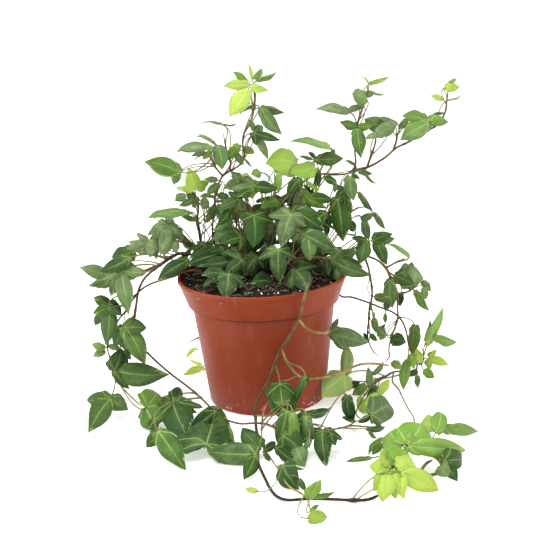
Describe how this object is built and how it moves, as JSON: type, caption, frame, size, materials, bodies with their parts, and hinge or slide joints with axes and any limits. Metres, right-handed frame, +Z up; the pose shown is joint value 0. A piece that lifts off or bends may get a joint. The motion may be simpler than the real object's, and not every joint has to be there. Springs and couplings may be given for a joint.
{
  "type": "potted ivy",
  "caption": "Trailing ivy in a tapered nursery pot: upright shoots, hanging vines that lie along the surface, and lobed leaves on stalks.",
  "frame": {"origin": "middle of the pot's underside", "axes": "+Z up along the pot's axis, +X to the right and +Y to the back as the plant is seen in the picture"},
  "size_m": [0.2601, 0.3237, 0.2255],
  "materials": {
    "terracotta_plastic": "satin moulded plastic in terracotta colour with scuffs and lime marks",
    "compost": "dark moist peat with bark bits and pale roots",
    "ivy_stem": "thin woody stem, brown to purplish",
    "pale_stem": "young runner, beige to green",
    "ivy_leaf": "leathery, satin, with paler veins"
  },
  "bodies": {
    "root": {"pot": "terracotta_plastic", "potting_soil": "compost", "stem_upper_left": "ivy_stem", "stem_left_crown": "ivy_stem", "stem_middle_crown": "ivy_stem", "stem_inner_crown": "ivy_stem", "stem_right_crown": "ivy_stem", "stem_front_crown": "ivy_stem", "stem_upper_right": "ivy_stem", "stem_left_trail": "ivy_stem", "stem_outer_trail": "ivy_stem", "stem_front_trail": "ivy_stem", "stem_pale_runner": "pale_stem", "stem_right": "ivy_stem", "stem_back_right": "ivy_stem", "stem_lower_right": "ivy_stem", "stem_curl": "ivy_stem", "stem_back_crown": "ivy_stem", "leaf_lower_right_1": "ivy_leaf", "leaf_outer_trail_1": "ivy_leaf", "leaf_left_trail_1": "ivy_leaf", "leaf_back_crown_1": "ivy_leaf", "leaf_left_crown_1": "ivy_leaf", "leaf_left_trail_2": "ivy_leaf", "leaf_right_crown_1": "ivy_leaf", "leaf_left_trail_3": "ivy_leaf", "leaf_left_trail_4": "ivy_leaf", "leaf_outer_trail_2": "ivy_leaf", "leaf_back_right_1": "ivy_leaf", "leaf_front_crown_1": "ivy_leaf", "leaf_outer_trail_3": "ivy_leaf", "leaf_left_trail_5": "ivy_leaf", "leaf_back_crown_2": "ivy_leaf", "leaf_right_crown_2": "ivy_leaf", "leaf_back_crown_3": "ivy_leaf", "leaf_front_trail_1": "ivy_leaf", "leaf_front_trail_2": "ivy_leaf", "leaf_upper_left_1": "ivy_leaf", "leaf_back_right_2": "ivy_leaf", "leaf_back_right_3": "ivy_leaf", "leaf_upper_left_2": "ivy_leaf", "leaf_pale_runner_1": "ivy_leaf", "leaf_front_crown_2": "ivy_leaf", "leaf_front_trail_3": "ivy_leaf", "leaf_right_crown_3": "ivy_leaf", "leaf_left_trail_6": "ivy_leaf", "leaf_upper_right_1": "ivy_leaf", "leaf_right_crown_4": "ivy_leaf", "leaf_upper_left_3": "ivy_leaf", "leaf_back_right_4": "ivy_leaf", "leaf_upper_right_2": "ivy_leaf", "leaf_upper_left_4": "ivy_leaf", "leaf_back_right_5": "ivy_leaf", "leaf_inner_crown_1": "ivy_leaf", "leaf_left_crown_2": "ivy_leaf", "leaf_left_trail_7": "ivy_leaf", "leaf_middle_crown_1": "ivy_leaf", "leaf_back_right_6": "ivy_leaf"}
  },
  "joints": []
}
